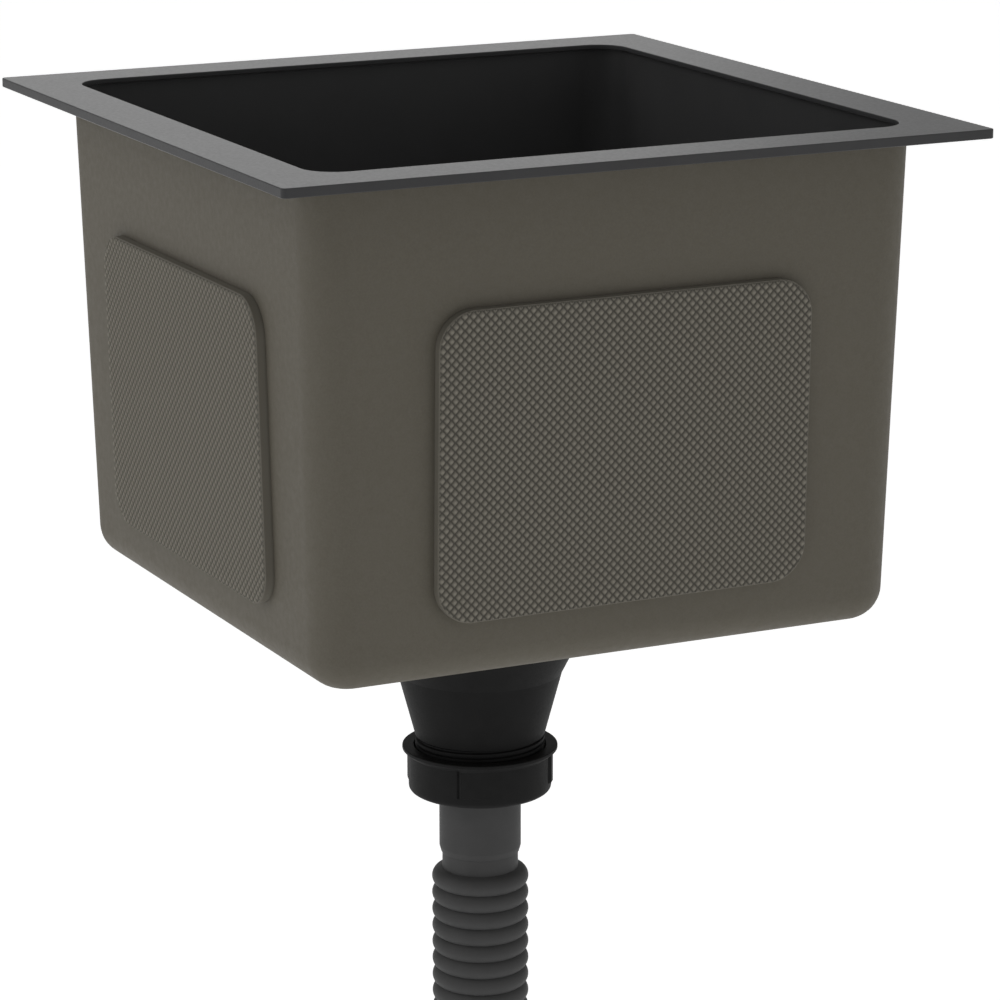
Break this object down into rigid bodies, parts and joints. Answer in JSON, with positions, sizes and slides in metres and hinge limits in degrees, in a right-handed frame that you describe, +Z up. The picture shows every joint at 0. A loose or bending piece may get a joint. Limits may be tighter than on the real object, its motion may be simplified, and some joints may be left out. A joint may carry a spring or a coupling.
{
  "type": "kitchen sink",
  "caption": "Square deep single-bowl sink with flat rim, sound pads, lift-out basket strainer, screw-clamped waste, coupling nut and ribbed drain hose.",
  "frame": {"origin": "centre of the rim's underside, the plane that rests on the worktop", "axes": "+Z up out of the bowl, -Y towards the user at the front, +X to the user's right"},
  "size_m": [0.3, 0.3, 0.6357],
  "materials": {
    "rim_steel": "dark grey satin coating on steel plate",
    "bowl_steel": "black satin inside, grey-olive sprayed undercoat outside",
    "pad_rubber": "embossed diamond weave, matt",
    "cup_steel": "black satin coating on pressed steel",
    "seal_rubber": "matt black",
    "waste_plastic": "fine satin moulding",
    "insert_brass": "turned",
    "screw_steel": "turned, bright",
    "basket_steel": "black satin coating on pressed steel",
    "hose_plastic": "dark grey, matt"
  },
  "bodies": {
    "sink": {"rim_plate": "rim_steel", "bowl_shell": "bowl_steel", "front_pad": "pad_rubber", "rear_pad": "pad_rubber", "left_pad": "pad_rubber", "right_pad": "pad_rubber", "base_pad_left": "pad_rubber", "base_pad_right": "pad_rubber", "strainer_cup": "cup_steel", "cup_gasket": "seal_rubber", "body_gasket": "seal_rubber", "waste_body": "waste_plastic", "clamp_insert": "insert_brass", "clamp_screw": "screw_steel"},
    "basket_unit": {"basket": "basket_steel", "basket_post": "screw_steel", "basket_nut": "screw_steel", "basket_knob": "basket_steel", "basket_plug": "seal_rubber"},
    "drain_hose": {"seal_washer": "seal_rubber", "hose_tailpiece": "hose_plastic", "corrugated_hose": "hose_plastic", "outlet_spigot": "waste_plastic"},
    "nut": {"coupling_nut": "waste_plastic"}
  },
  "joints": [
    {"name": "basket_lift", "type": "slide", "parent": "sink", "child": "basket_unit", "axis": [0, 0, 1], "range_m": [0, 0.235]},
    {"name": "hose_drop", "type": "slide", "parent": "sink", "child": "drain_hose", "axis": [0, 0, -1], "range_m": [0, 0.0115]},
    {"name": "nut_turn", "type": "hinge", "parent": "drain_hose", "child": "nut", "pos_m": [0, 0, -0.2768], "axis": [0, 0, -1], "range_deg": [0, 1800]}
  ],
  "couplings": [
    {"joint": "nut_turn", "follows": "hose_drop", "rad_per_m": 2731.8}
  ]
}
